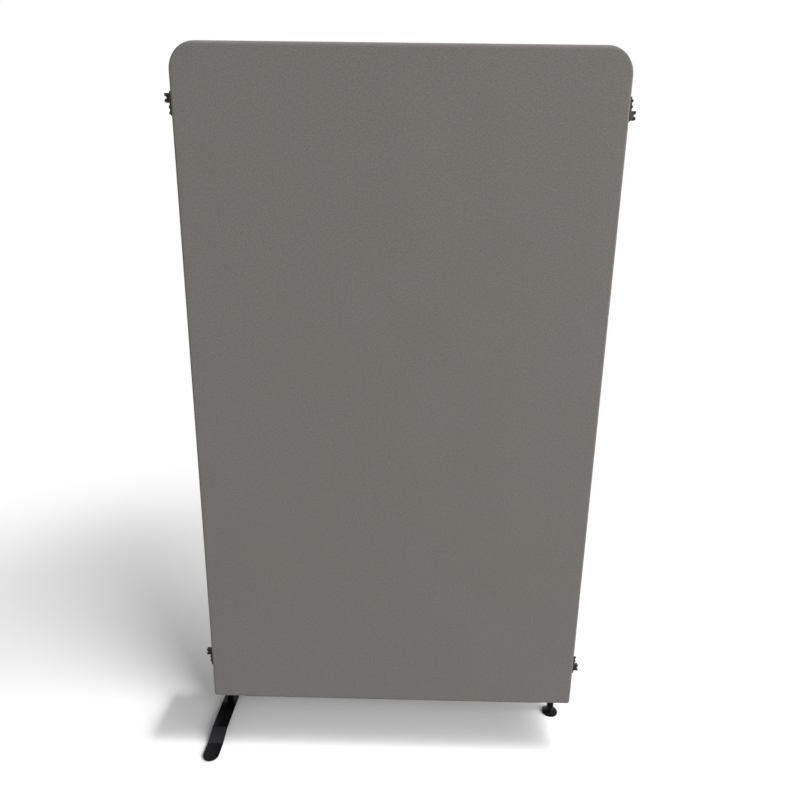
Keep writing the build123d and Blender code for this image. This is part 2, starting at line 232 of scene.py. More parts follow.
def startMaterial(name):
    material = bpy.data.materials.new(name)
    material.use_nodes = True
    material.node_tree.nodes.clear()
    return material, Wire(material.node_tree)


def coat(start, values):
    # Closes a material with one Principled surface.
    surface = start.node("BsdfPrincipled", {}, values)
    start.node("OutputMaterial", {}, {"Surface": surface})


def setWorld(level):
    # Plain white for what looks straight at it or mirrors it, and dimmer as light.
    world = bpy.data.worlds.new("world")
    world.use_nodes = True
    world.node_tree.nodes.clear()
    start = Wire(world.node_tree)
    seen = start.node("LightPath", out="Is Camera Ray")
    glossy, through = seen.also("Is Glossy Ray"), seen.also("Is Transmission Ray")
    seen = seen.maths("MAXIMUM", glossy).maths("MAXIMUM", through)
    strength = seen * (1.0 - level) + level
    back = start.node("Background", {}, {"Color": grey(1.0), "Strength": strength})
    start.node("OutputWorld", {}, {"Surface": back})
    bpy.context.scene.world = world


setWorld(lights["ambient"])
print("camera and lamps placed")


# Materials. A range is where a smooth step goes from 0 to 1.

fabric = {
    "yarn": 0.00125,            # from one yarn to the next
    "wander": 0.35,             # how far a yarn strays, in yarns
    "wanderTurns": 70.0,
    "narrow": 0.6,              # how much lower a yarn is at its ends than in its middle
    "yarnTurns": 190.0,
    "yarnsApart": 0.73,         # of a turn, from one yarn's shade to the next one's
    "weftAway": 900.0,
    "fibreTurns": 2600.0,
    "fleckTurns": 420.0,
    "nepTurns": 546.0,
    "nepRange": (0.24, 0.34),
    "cloudTurns": 3.2,
    "cloudRange": (0.35, 0.65),
    "yarnShade": 0.68,
    "fibreShade": 0.22,
    "heightShade": 0.12,
    "fleckShade": 0.50,
    "nepShade": 0.17,
    "lessShade": 0.238,
    "stops": (0.30, 0.52, 0.76),
    "shades": ((0.0776, 0.0734, 0.0677), (0.1253, 0.1180, 0.1092), (0.1827, 0.1735, 0.1610)),
    "cool": (0.985, 1.0, 0.985),
    "warm": (1.015, 0.998, 1.012),
    # colour of the painted highlight along the top edge, where light from above falls
    "dustAndTopLight": (0.252, 0.238, 0.221),
    "topLightCover": 0.60,          # how much of the top edge's cloth the painted highlight covers
    "dustAndTopLightRange": (1.6880, 1.7000),
    "dustAndTopLightTurns": 25.0,
    "weaveHeight": 0.00022,
    "puckerPitch": 0.009,
    "puckerDrift": 5.0,         # radians
    "puckerTurns": 40.0,
    "puckerRange": (0.0005, 0.009),
    "puckerHeight": 0.00022,
    "rough": 0.98,
    "smoother": 0.12,           # at the top of a yarn
    "shine": 0.25,
    "sheen": 0.12,
    "sheenRough": 0.45,
    "sheenGrey": 0.9,
}


def wovenFabric(name, want):
    # Plain weave in the cloth's own metres: where a warp yarn lies on top, its round back
    # shows; elsewhere the weft's. Each yarn has its own shade that drifts along it. The top
    # edge is painted lighter, a painted highlight of the light from above, and the cloth puckers
    # along the seam.
    material, start = startMaterial(name)
    cloth = start.node("UVMap", {"uv_map": "cloth"})
    across, up, _ = cloth.parts()
    x, z = across + 2.0, up + 2.0
    wander = cloth.noise(want["wanderTurns"], 1.0)
    driftX, driftZ, _ = wander.also("Color").parts()
    u = x / want["yarn"] + driftX * want["wander"]
    v = z / want["yarn"] + driftZ * want["wander"]
    uCell, vCell = u.maths("FLOOR"), v.maths("FLOOR")
    uIn, vIn = (u - uCell) * 2.0 - 1.0, (v - vCell) * 2.0 - 1.0
    uRound, vRound = 1.0 - uIn * uIn, 1.0 - vIn * vIn
    over = (uCell + vCell).maths("MODULO", 2.0)
    narrow, wide = want["narrow"], 1.0 - want["narrow"]
    warp = (uRound ** 0.5) * (vRound * narrow + wide)
    weft = (vRound ** 0.5) * (uRound * narrow + wide)
    height = warp * over + weft * (1.0 - over)
    uShade, vShade = uCell * want["yarnsApart"], vCell * want["yarnsApart"] + want["weftAway"]
    warpPlace = start.node("CombineXYZ", {}, {0: uShade, 1: z * want["yarnTurns"]})
    weftPlace = start.node("CombineXYZ", {}, {0: x * want["yarnTurns"], 1: vShade})
    warpTone, weftTone = warpPlace.noise(1.0, 3.0, 0.6), weftPlace.noise(1.0, 3.0, 0.6)
    yarnTone = warpTone * over + weftTone * (1.0 - over)
    fibre = cloth.noise(want["fibreTurns"], 2.0)
    fleck = cloth.noise(want["fleckTurns"], 2.0, 0.6)
    nep = 1.0 - cloth.noise(want["nepTurns"], 1.0, 0.4).step(*want["nepRange"])
    shade = (yarnTone * want["yarnShade"] + fibre * want["fibreShade"]
             + height * want["heightShade"] + fleck * want["fleckShade"]
             - nep * want["nepShade"] - want["lessShade"])
    stops = [(stop, opaque(colour)) for stop, colour in zip(want["stops"], want["shades"])]
    colour = shade.node("ValToRGB", {"stops": stops}, {0: shade})
    cloud = cloth.noise(want["cloudTurns"], 3.0, 0.55).step(*want["cloudRange"])
    colour = colour.tinted(cloud.mix(want["cool"], want["warm"]))
    # Painted highlight: along the top edge the colour is mixed towards a lighter one, for light
    # falling from above.
    place = start.node("TexCoord", out="Object")
    dustyAndTopLit = place.parts()[2].step(*want["dustAndTopLightRange"]) * want["topLightCover"]
    dustyAndTopLit = dustyAndTopLit * (place.noise(want["dustAndTopLightTurns"], 2.0) * 0.6 + 0.7)
    colour = dustyAndTopLit.mix(colour, want["dustAndTopLight"])
    seam = start.node("UVMap", {"uv_map": "seam"})
    along, fromSeam, _ = seam.parts()
    drift = seam.noise(want["puckerTurns"], 1.0) * want["puckerDrift"]
    turn = along * (2.0 * math.pi / want["puckerPitch"]) + drift
    pucker = (turn.maths("SINE") * 0.5 + 0.5) * (1.0 - fromSeam.step(*want["puckerRange"]))
    normal = pucker.bump(want["puckerHeight"])
    normal = (height * 0.8 + fibre * 0.2).bump(want["weaveHeight"], normal)
    coat(start, {"Base Color": colour, "Roughness": want["rough"] - height * want["smoother"],
                 "Normal": normal, "Specular IOR Level": want["shine"],
                 "Sheen Weight": want["sheen"], "Sheen Roughness": want["sheenRough"],
                 "Sheen Tint": grey(want["sheenGrey"])})
    return material


sewing = {
    "dark": (0.09, 0.087, 0.083),
    "light": (0.21, 0.204, 0.197),
    "twist": 9000.0,            # radians in a metre
    "fuzzTurns": 900.0,
    "twistHeight": 0.00008,
    "rough": 0.75,
    "smoother": 0.2,            # at the top of a strand
    "shine": 0.35,
}


def stitchThread(name, want):
    # Twisted sewing thread: shade and height wind round it along the seam.
    material, start = startMaterial(name)
    place = start.node("TexCoord", out="Object")
    along, around, _ = start.node("UVMap", {"uv_map": "cloth"}).parts()
    turn = along * want["twist"] + around * 2.0 * math.pi
    wave = turn.maths("SINE") * 0.5 + 0.5
    fuzz = place.noise(want["fuzzTurns"], 2.0)
    colour = (wave * 0.6 + fuzz * 0.4).mix(want["dark"], want["light"])
    coat(start, {"Base Color": colour, "Roughness": want["rough"] - wave * want["smoother"],
                 "Normal": wave.bump(want["twistHeight"]), "Specular IOR Level": want["shine"]})
    return material


plastic = {
    "kinds": {
        "stripPlastic": {"colour": (0.018, 0.018, 0.019), "grainTurns": 1100.0,
                         "rough": 0.50, "shine": 0.26},
        "clipPlastic": {"colour": (0.0110, 0.0120, 0.0160), "grainTurns": 1500.0,
                        "rough": 0.52, "shine": 0.26},
        "glidePlastic": {"colour": (0.0016, 0.0016, 0.0017), "grainTurns": 1300.0,
                         "rough": 0.50, "shine": 0.10},
        "slipPlastic": {"colour": (0.010, 0.010, 0.011), "grainTurns": 1200.0,
                        "rough": 0.42, "shine": 0.26},
    },
    "speckle": 0.25,            # how far the colour strays, as a share of it
    "flowTurns": 38.0,
    "speckleRange": (0.3, 0.7),
    "grainHeight": 0.00006,
}


def mouldedPlastic(name, want):
    # Spark-eroded grain, with faint clouding where the plastic flowed.
    own = want["kinds"][name]
    material, start = startMaterial(name)
    place = start.node("TexCoord", out="Object")
    fine = place.noise(own["grainTurns"], 3.0, 0.65)
    flow = place.noise(want["flowTurns"], 3.0, 0.5)
    low, high = ([part * (1.0 + side * want["speckle"]) for part in own["colour"]]
                 for side in (-1, 1))
    base = (fine * 0.45 + flow * 0.55).step(*want["speckleRange"]).mix(low, high)
    rough = own["rough"] + (flow - 0.5) * 0.16 + (fine - 0.5) * 0.1
    coat(start, {"Base Color": base, "Roughness": rough,
                 "Normal": fine.bump(want["grainHeight"]), "Specular IOR Level": own["shine"]})
    return material


steelCoat = {
    "colour": (0.0013, 0.0013, 0.0014),
    "speck": (0.0038, 0.0039, 0.0042),
    "rubbed": (0.020, 0.020, 0.022),
    # painted reflection: the colour of the slopes between the bends, lighter than the flats
    "slopeReflection": (0.0160, 0.0165, 0.0200),
    "slopeFrom": 0.103,
    "slopeTo": 0.145,
    "slopeBlur": 0.003,
    "footMiddle": -0.46,
    "halfLength": 0.200,
    "halfWidth": 0.020,
    "rubRange": (0.0001, 0.0012),
    "rubTurns": 160.0,
    "rubPatches": (0.5, 0.72),
    "rubCover": 0.5,
    "peelTurns": 420.0,
    "peelHeight": 0.00002,
    "speckTurns": 2100.0,
    "speckRange": (0.52, 0.74),
    "cloudTurns": 22.0,
    "rough": 0.22,
    "smoother": 0.12,           # where it is rubbed
    "shine": 0.11,
}


def powderCoat(name, want, barOutline):
    # Satin powder coat with orange peel. On the bar foot the edge is rubbed a little: the
    # distance in from the outline is the half width less the distance to the middle line.
    # The slopes are painted a little lighter and bluer than the flats: a painted reflection of
    # the light from above, which the tilted slopes catch.
    material, start = startMaterial(name)
    place = start.node("TexCoord", out="Object")
    peel = place.noise(want["peelTurns"], 2.0, 0.45)
    speck = place.noise(want["speckTurns"], 2.0, 0.7)
    cloud = place.noise(want["cloudTurns"], 3.0)
    specks = speck.step(*want["speckRange"]) * 0.7 + cloud * 0.3
    base = specks.mix(want["colour"], want["speck"])
    rough = want["rough"] + (cloud - 0.5) * 0.10 + (speck - 0.5) * 0.08
    if barOutline:
        x, y, _ = place.parts()
        side, ahead = x - want["footMiddle"], y.maths("ABSOLUTE")
        past = (ahead - (want["halfLength"] - want["halfWidth"])).maths("MAXIMUM", 0.0)
        inward = want["halfWidth"] - (side * side + past * past) ** 0.5
        patches = place.noise(want["rubTurns"], 3.0, 0.7).step(*want["rubPatches"])
        rubbed = (1.0 - inward.step(*want["rubRange"])) * patches * want["rubCover"]
        begun, ended = (ahead.step(want[key] - want["slopeBlur"], want[key] + want["slopeBlur"])
                        for key in ("slopeFrom", "slopeTo"))
        # Painted reflection: between the two bends the slope takes a lighter colour.
        base = (begun * (1.0 - ended)).mix(base, want["slopeReflection"])
        base = rubbed.mix(base, want["rubbed"])
        rough = rough - rubbed * want["smoother"]
    coat(start, {"Base Color": base, "Roughness": rough,
                 "Normal": peel.bump(want["peelHeight"]), "Specular IOR Level": want["shine"]})
    return material


metal = {
    "kinds": {
        "zinc": {"bright": (0.62, 0.64, 0.66), "dull": (0.46, 0.49, 0.54), "rough": 0.34},
        "blackZinc": {"bright": (0.045, 0.045, 0.05), "dull": (0.02, 0.02, 0.024), "rough": 0.42},
        "brass": {"bright": (0.74, 0.52, 0.20), "dull": (0.55, 0.36, 0.13), "rough": 0.3},
    },
    "cloudTurns": 180.0,
    "cloudRange": (0.3, 0.72),
    "markTurns": 1400.0,
    "markHeight": 0.00002,
}


def platedMetal(name, want):
    # Plating with clouds of passivation and fine marks.
    own = want["kinds"][name]
    material, start = startMaterial(name)
    place = start.node("TexCoord", out="Object")
    cloud = place.noise(want["cloudTurns"], 3.0, 0.6)
    marks = place.noise(want["markTurns"], 2.0, 0.6)
    base = cloud.step(*want["cloudRange"]).mix(own["bright"], own["dull"])
    rough = own["rough"] + (cloud - 0.5) * 0.2 + (marks - 0.5) * 0.16
    coat(start, {"Base Color": base, "Metallic": 1.0, "Roughness": rough,
                 "Normal": marks.bump(want["markHeight"])})
    return material


upright, lying = (0.0, 0.0, 0.0), (0.0, math.pi / 2, 0.0)
timber = {
    "kinds": {
        "uprightTimber": {"turn": upright, "early": (0.62, 0.42, 0.23),
                          "late": (0.40, 0.22, 0.095)},
        "lyingTimber": {"turn": lying, "early": (0.62, 0.42, 0.23),
                        "late": (0.40, 0.22, 0.095)},
        "beech": {"turn": upright, "early": (0.60, 0.39, 0.23), "late": (0.47, 0.27, 0.14)},
    },
    "pith": (-0.17, -0.05),     # where the log's middle is
    "rings": 330.0,             # in a metre
    "warp": 16.0,               # how far a ring wanders, in rings
    "warpTurns": 9.0,
    "warpStretch": 0.12,
    "lateRange": (0.15, 0.95),
    "poreTurns": 900.0,
    "poreStretch": 0.03,
    "height": 0.00012,
    "rough": 0.62,
    "shine": 0.3,
}


def sawnTimber(name, want):
    # Growth rings: shells round a wandering pith, stretched along the grain, with pores.
    own = want["kinds"][name]
    material, start = startMaterial(name)
    place = start.node("TexCoord", out="Object")
    laid = start.node("Mapping", {}, {"Vector": place, "Rotation": own["turn"]})
    warped = laid.noise(want["warpTurns"], 2.0, 0.5, (1.0, 1.0, want["warpStretch"]))
    x, y, _ = laid.parts()
    offX, offY = x - want["pith"][0], y - want["pith"][1]
    rings = ((offX * offX + offY * offY) ** 0.5) * want["rings"] + warped * want["warp"]
    band = rings.maths("FRACT").step(*want["lateRange"])
    pores = laid.noise(want["poreTurns"], 2.0, 0.6, (1.0, 1.0, want["poreStretch"]))
    base = (band * 0.65 + pores * 0.35).mix(own["early"], own["late"])
    coat(start, {"Base Color": base, "Roughness": want["rough"] + pores * 0.2,
                 "Normal": (pores * 0.6 + band * 0.4).bump(want["height"]),
                 "Specular IOR Level": want["shine"]})
    return material


veneers = {
    "ply": 0.0022,
    "pale": (0.66, 0.50, 0.32),
    "dark": (0.43, 0.28, 0.15),
    "glue": (0.10, 0.045, 0.02),
    "glueShare": 0.07,          # of a ply, at each side
    "alongTurns": 700.0,
    "alongStretch": 0.04,
    "endTurns": 1500.0,
    "height": 0.0001,
    "rough": 0.66,
    "shine": 0.3,
}


def plywood(name, want):
    # Veneers stacked through the depth; every other one shows its end grain.
    material, start = startMaterial(name)
    place = start.node("TexCoord", out="Object")
    layer = (place.parts()[1] + 0.1) / want["ply"]
    cell = layer.maths("FLOOR")
    odd, inLayer, share = cell.maths("MODULO", 2.0), layer - cell, want["glueShare"]
    wood = inLayer.step(0.0, share) * (1.0 - inLayer.step(1.0 - share, 1.0))
    alongGrain = place.noise(want["alongTurns"], 2.0, 0.6, (want["alongStretch"], 1.0, 1.0))
    endGrain = place.noise(want["endTurns"], 2.0, 0.7)
    grain = alongGrain * odd + endGrain * (1.0 - odd)
    base = (grain * 0.6 + odd * 0.35).mix(want["pale"], want["dark"])
    base = wood.mix(want["glue"], base)
    coat(start, {"Base Color": base, "Roughness": want["rough"] + grain * 0.18,
                 "Normal": grain.bump(want["height"]), "Specular IOR Level": want["shine"]})
    return material


felt = {
    "kinds": {
        "filling": {"pale": (0.46, 0.46, 0.44), "dark": (0.15, 0.15, 0.14), "clumpTurns": 90.0},
        "wadding": {"pale": (0.80, 0.80, 0.78), "dark": (0.55, 0.55, 0.53), "clumpTurns": 45.0},
    },
    "fibreTurns": 900.0,
    "fibreStretch": 0.12,
    "paleRange": (0.32, 0.68),
    "height": 0.0006,
    "rough": 0.97,
    "shine": 0.15,
    "sheen": 0.2,
    "sheenRough": 0.6,
}


def feltFibre(name, want):
    # Matted fibres: two noises stretched across each other, over soft clumps.
    own = want["kinds"][name]
    material, start = startMaterial(name)
    place = start.node("TexCoord", out="Object")
    first = place.noise(want["fibreTurns"], 3.0, 0.7, (1.0, 1.0, want["fibreStretch"]))
    second = place.noise(want["fibreTurns"], 3.0, 0.7, (want["fibreStretch"], 1.0, 1.0))
    clumps = place.noise(own["clumpTurns"], 3.0, 0.6)
    height = first * 0.35 + second * 0.35 + clumps * 0.3
    base = height.step(*want["paleRange"]).mix(own["dark"], own["pale"])
    coat(start, {"Base Color": base, "Roughness": want["rough"] - clumps * 0.08,
                 "Normal": height.bump(want["height"]), "Specular IOR Level": want["shine"],
                 "Sheen Weight": want["sheen"], "Sheen Roughness": want["sheenRough"]})
    return material


padRubber = {
    "dark": (0.012, 0.012, 0.012),
    "dustyAndTopLit": (0.035, 0.034, 0.032),
    "grainTurns": 1300.0,
    "dustAndTopLightTurns": 60.0,
    "dustAndTopLightRange": (0.45, 0.8),
    "height": 0.00008,
    "rough": 0.78,
    "shine": 0.3,
}


def mattRubber(name, want):
    # Matt rubber with a fine cloth-pressed grain and a trace of dust.
    material, start = startMaterial(name)
    place = start.node("TexCoord", out="Object")
    grain = place.noise(want["grainTurns"], 2.0, 0.6)
    dustAndTopLight = place.noise(want["dustAndTopLightTurns"], 3.0, 0.6).step(*want["dustAndTopLightRange"])
    base = (grain * 0.3 + dustAndTopLight * 0.7).mix(want["dark"], want["dustyAndTopLit"])
    coat(start, {"Base Color": base, "Roughness": want["rough"] + grain * 0.15,
                 "Normal": grain.bump(want["height"]), "Specular IOR Level": want["shine"]})
    return material


finishes = {
    "fabric": wovenFabric("fabric", fabric),
    "thread": stitchThread("thread", sewing),
    "footCoat": powderCoat("footCoat", steelCoat, True),
    "stemCoat": powderCoat("stemCoat", steelCoat, False),
    "plywood": plywood("plywood", veneers),
    "rubber": mattRubber("rubber", padRubber),
}
for makeFinish, finishWant in ((mouldedPlastic, plastic), (platedMetal, metal),
                               (sawnTimber, timber), (feltFibre, felt)):
    for finishKind in finishWant["kinds"]:
        finishes[finishKind] = makeFinish(finishKind, finishWant)

nodeFinish = {
    "left_stile": "uprightTimber", "right_stile": "uprightTimber",
    "top_rail": "lyingTimber", "middle_rail": "lyingTimber", "bottom_rail": "lyingTimber",
    "left_corner_block": "plywood", "right_corner_block": "plywood",
    "frame_dowels": "beech",
    "upper_core": "filling", "lower_core": "filling",
    "front_wadding": "wadding", "rear_wadding": "wadding",
    "front_cover": "fabric", "rear_cover": "fabric",
    "bottom_strip": "stripPlastic", "strip_screws": "zinc", "connector_screws": "blackZinc",
    "left_top_connector": "clipPlastic", "left_bottom_connector": "clipPlastic",
    "right_top_connector": "clipPlastic", "right_bottom_connector": "clipPlastic",
    "foot_insert": "brass", "glide_insert": "brass",
    "foot_stem": "stemCoat", "glide_stem": "stemCoat", "foot_bar": "footCoat",
    "foot_slip_washer": "slipPlastic", "foot_washer": "zinc", "foot_bolt": "zinc",
    "glide_lock_nut": "blackZinc", "glide_stud": "blackZinc",
    "front_toe_pad": "rubber", "rear_toe_pad": "rubber", "glide_pad": "rubber",
    "glide_disc": "glidePlastic",
}


def wear(piece, finish):
    piece.data.materials.clear()
    piece.data.materials.append(finishes[finish])


for nodeName, finishName in nodeFinish.items():
    wear(frame["nodes"][nodeName], finishName)
print("materials made,", len(finishes))


# Shapes: whole-array surfaces

def newPiece(name, points, faces, finish, body, maps=None):
    # Faces are a list of arrays. Each map gives one place per point.
    mesh = bpy.data.meshes.new(name)
    mesh.from_pydata(points.tolist(), [], [face for part in faces for face in part.tolist()])
    for mapName, perPoint in (maps or {}).items():
        layer = mesh.uv_layers.new(name=mapName)
        corner = np.empty(len(mesh.loops), np.int32)
        mesh.loops.foreach_get("vertex_index", corner)
        layer.data.foreach_set("uv", perPoint[corner].astype(np.float32).ravel())
    mesh.polygons.foreach_set("use_smooth", np.ones(len(mesh.polygons), bool))
    mesh.update()
    piece = bpy.data.objects.new(name, mesh)
    bpy.context.collection.objects.link(piece)
    wear(piece, finish)
    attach(piece, body)
    return piece


def spans(*stops):
    # Lines between the given places: place, steps, place, steps, ... place.
    parts = [np.linspace(low, high, steps, endpoint=False)
             for low, steps, high in zip(stops[::2], stops[1::2], stops[2::2])]
    return np.concatenate(parts + [[stops[-1]]])


def gridFaces(rows, columns, first=0, closed=False):
    # Four-cornered faces of a grid of points, row after row; closed joins the last column.
    index = first + np.arange(rows * columns).reshape(rows, columns)
    if closed:
        index = np.concatenate([index, index[:, :1]], 1)
    corners = (index[:-1, :-1], index[:-1, 1:], index[1:, 1:], index[1:, :-1])
    return np.stack(corners, -1).reshape(-1, 4)


def ringFaces(nearRing, farRing):
    # Four-cornered faces between two rings of points.
    return np.stack([nearRing, np.roll(nearRing, -1), np.roll(farRing, -1), farRing], -1)


def roundCorners(x, z, box, radii):
    # A rectangle's grid drawn into one with round corners. In a corner's square, a and b run
    # from 0 to 1 out of its middle; a goes to a * sqrt(1 - b * b / 2), and b likewise.
    left, right, bottom, top = box
    for sideX, edgeX in ((-1, left), (1, right)):
        for sideZ, edgeZ, radius in ((-1, bottom, radii[0]), (1, top, radii[1])):
            middleX, middleZ = edgeX - sideX * radius, edgeZ - sideZ * radius
            a, b = sideX * (x - middleX) / radius, sideZ * (z - middleZ) / radius
            inside = (a > 0) & (b > 0)
            drawnA = a * np.sqrt(np.maximum(1 - b * b / 2, 0))
            drawnB = b * np.sqrt(np.maximum(1 - a * a / 2, 0))
            x = np.where(inside, middleX + sideX * radius * drawnA, x)
            z = np.where(inside, middleZ + sideZ * radius * drawnB, z)
    return x, z


def rimOf(rows, columns):
    # The grid's rim, once round: along the bottom, up the right, back along the top, down.
    index = np.arange(rows * columns).reshape(rows, columns)
    return np.concatenate([index[0, :-1], index[:-1, -1], index[-1, :0:-1], index[:0:-1, 0]])


def outward(x, z, box, radii):
    # At each point of a rounded outline, the direction straight out of it.
    left, right, bottom, top = box
    radius = np.where(z > (bottom + top) / 2, radii[1], radii[0])
    inX = np.clip(x, left + radius, right - radius)
    inZ = np.clip(z, bottom + radius, top - radius)
    away = np.stack([x - inX, z - inZ], -1)
    return away / np.linalg.norm(away, axis=-1, keepdims=True)


def waves(x, z, seed, count, low, high):
    # A sum of sines with random directions and lengths between two wavelengths, about -1 to 1.
    draw = np.random.default_rng(seed)
    turn, phase = draw.uniform(0, 2 * np.pi, (2, count))
    length = np.exp(draw.uniform(np.log(low), np.log(high), count))
    pull = 2 * np.pi / length
    total = np.zeros_like(x)
    for angle, shift, each in zip(turn, phase, pull):
        total = total + np.sin((x * np.cos(angle) + z * np.sin(angle)) * each + shift)
    return total / math.sqrt(count)


def pairs(x, z):
    # Two arrays as one list of places in a plane.
    return np.stack([x, z], -1).reshape(-1, 2)


def panelOutline(panel, inset):
    # The panel's box and its corners' radii, drawn in by the same amount all round.
    half = panel["halfWidth"] - inset
    box = (-half, half, panel["bottom"] + inset, panel["top"] - inset)
    return box, (panel["bottomRadius"] - inset, panel["topRadius"] - inset)


# Fabric cover

cover = {
    "halfWidth": 0.500,
    "bottom": 0.040,
    "top": 1.700,
    "halfDepth": 0.015,
    "roll": 0.006,              # radius between the face and the edge
    "topRadius": 0.059,
    "bottomRadius": 0.0075,
    "ripple": 0.00028,          # how far the stretched face strays from flat
    "rippleWaves": (14, 0.11, 0.9),     # how many, the shortest and the longest
    "rippleFade": 0.06,         # from the rim inwards
    "grooveDepth": 0.0010,
    "grooveWidth": 0.0011,
    "grooveRows": (0.0, 0.25, 0.6, 1.0, 1.6, 3.0, 6.0),     # millimetres from the seam
    "rollRows": 6,
    "footPlace": -0.460,
    "glidePlace": 0.450,
    "stemHole": 0.0094,
    "holeReach": 0.01,          # above the bottom
    "stepsAcross": (36, 18, 9, 3),      # to a stem's hole, over it, to the corner, round it
    "stepsUp": (3, 134, 16, 3),         # round the corner, up, round the corner, to the rim
    "rimStep": 0.0015,
    "clothWidth": 1.050,        # cut size, with hems of about 12 mm
    "clothLength": 1.710,
}


def coverHalf(name, node, facing, seed, want):
    # One half of the cover. The face is a grid with round corners that strays from flat by
    # a sum of long waves, fading at its rim. From its rim a band goes on over a quarter roll
    # and down the edge to the seam at mid depth; d is the distance from the seam along it.
    roll, edgeDepth = want["roll"], want["halfDepth"] - want["roll"]
    box, radii = panelOutline(want, roll)
    foot, glide, hole = want["footPlace"], want["glidePlace"], want["stemHole"]
    toHole, overHole, toCorner, corner = want["stepsAcross"]
    leftLine, rightLine = (spans(0.0, toHole, stem - hole, overHole, stem + hole, toCorner,
                                 box[1] - radii[0], corner, box[1]) for stem in (-foot, glide))
    lowCorner, straight, highCorner, toRim = want["stepsUp"]
    xLine = np.concatenate([-leftLine[:0:-1], rightLine])
    zLine = spans(box[2], lowCorner, box[2] + radii[0], straight, box[3] - radii[1],
                  highCorner, box[3] - want["rimStep"], toRim, box[3])
    gridX, gridZ = np.meshgrid(xLine, zLine)
    x, z = roundCorners(gridX, gridZ, box, radii)
    rim = np.minimum.reduce([gridX - box[0], box[1] - gridX, gridZ - box[2], box[3] - gridZ])
    inward = np.clip(rim / want["rippleFade"], 0, 1)
    ripple = waves(x, z, seed, *want["rippleWaves"]) * want["ripple"]
    out = want["halfDepth"] + ripple * (inward ** 2 * (3 - 2 * inward))
    face = np.stack([x, facing * out, z], -1).reshape(-1, 3)

    ring = rimOf(*x.shape)
    ringX, ringZ = face[ring, 0], face[ring, 2]
    normal = outward(ringX, ringZ, box, radii)
    run = edgeDepth + roll * np.pi / 2
    rollRows = np.linspace(edgeDepth, run, want["rollRows"] + 1)[:-1]
    seamTo = np.concatenate([np.array(want["grooveRows"]) / 1000, rollRows])
    fromStem = np.abs(ringX - np.where(ringX < 0, foot, glide))
    atHole = (ringZ < want["bottom"] + want["holeReach"]) & (fromStem < hole)
    start = np.where(atHole, np.sqrt(np.maximum(hole ** 2 - fromStem ** 2, 0)), 0.0)
    d = start + (run - start) * seamTo[:, None] / run
    turn = np.clip((d - edgeDepth) / roll, 0, np.pi / 2)
    groove = want["grooveDepth"] * np.exp(-((d - start) / want["grooveWidth"]) ** 2)
    out = roll - roll * (1 - np.cos(turn)) - groove * (turn == 0)
    depth = np.where(turn > 0, edgeDepth + roll * np.sin(turn), d)
    bandX, bandZ = ringX + normal[:, 0] * out, ringZ + normal[:, 1] * out
    band = np.stack([bandX, facing * depth, bandZ], -1).reshape(-1, 3)

    clothBand = pairs(ringX + normal[:, 0] * (run - d), ringZ + normal[:, 1] * (run - d))
    step = np.linalg.norm(np.diff(np.stack([ringX, ringZ], -1), axis=0), axis=1)
    along = np.concatenate([[0.0], np.cumsum(step)])
    seamBand = pairs(np.broadcast_to(along, d.shape), d - start)
    maps = {"cloth": np.concatenate([pairs(x, z), clothBand]),
            "seam": np.concatenate([np.full((len(face), 2), 0.5), seamBand])}
    last = len(face) + (len(seamTo) - 1) * len(ring) + np.arange(len(ring))
    faces = [gridFaces(*x.shape), gridFaces(len(seamTo), len(ring), len(face), closed=True),
             ringFaces(last, ring)]
    if facing > 0:
        faces = [part[:, ::-1] for part in faces]
    points = np.concatenate([face, band])
    piece = newPiece(name, points, faces, "fabric", "screen", maps)
    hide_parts(node)
    return piece


frontFabric = coverHalf("front_fabric", "front_cover", -1, 5, cover)
rearFabric = coverHalf("rear_fabric", "rear_cover", 1, 11, cover)
print("cover laid, front", len(frontFabric.data.polygons), "faces")


# Padding under the cover and filling in the frame

def softSlab(name, node, box, radii, depth, steps, seed, want):
    # A closed pad between two depths: both faces are one grid with round corners, joined
    # over a rim that bulges as half an ellipse. Short waves raise and sink both faces.
    roll, (low, high) = want["roll"], depth
    gridX, gridZ = np.meshgrid(spans(*steps[0]), spans(*steps[1]))
    inner = (box[0] + roll, box[1] - roll, box[2] + roll, box[3] - roll)
    innerRadii = tuple(max(radius - roll, want["leastRadius"]) for radius in radii)
    x, z = roundCorners(gridX, gridZ, inner, innerRadii)
    middle, reach = (low + high) / 2, (high - low) / 2
    rise, sink = (waves(x, z, draw, *want["fluffWaves"]) * want["fluff"]
                  for draw in (seed, seed + 1))
    ring = rimOf(*x.shape)
    edgeX, edgeZ = x.ravel()[ring], z.ravel()[ring]
    normal = outward(edgeX, edgeZ, inner, innerRadii)
    rows = want["rimRows"]
    angle = np.linspace(-np.pi / 2, np.pi / 2, rows + 2)[1:-1, None]
    nearFace, farFace = middle - reach - rise.ravel(), middle + reach + sink.ravel()
    centre = (nearFace[ring] + farFace[ring]) / 2
    tall = (farFace[ring] - nearFace[ring]) / 2
    rimX, rimZ = (edge + normal[:, k] * roll * np.cos(angle)
                  for k, edge in enumerate((edgeX, edgeZ)))
    rim = np.stack([rimX, centre + tall * np.sin(angle), rimZ], -1).reshape(-1, 3)
    near = np.stack([x.ravel(), nearFace, z.ravel()], -1)
    far = np.stack([x.ravel(), farFace, z.ravel()], -1)
    count, around = x.size, len(ring)
    first = 2 * count + np.arange(around)
    last = first + (rows - 1) * around
    faces = [gridFaces(*x.shape), gridFaces(*x.shape, first=count)[:, ::-1],
             gridFaces(rows, around, 2 * count, closed=True)[:, ::-1],
             np.stack([ring, first, np.roll(first, -1), np.roll(ring, -1)], -1),
             np.stack([last, ring + count, np.roll(ring + count, -1), np.roll(last, -1)], -1)]
    points = np.concatenate([near, far, rim])
    piece = newPiece(name, points, faces, want["finish"], "screen")
    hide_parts(node)


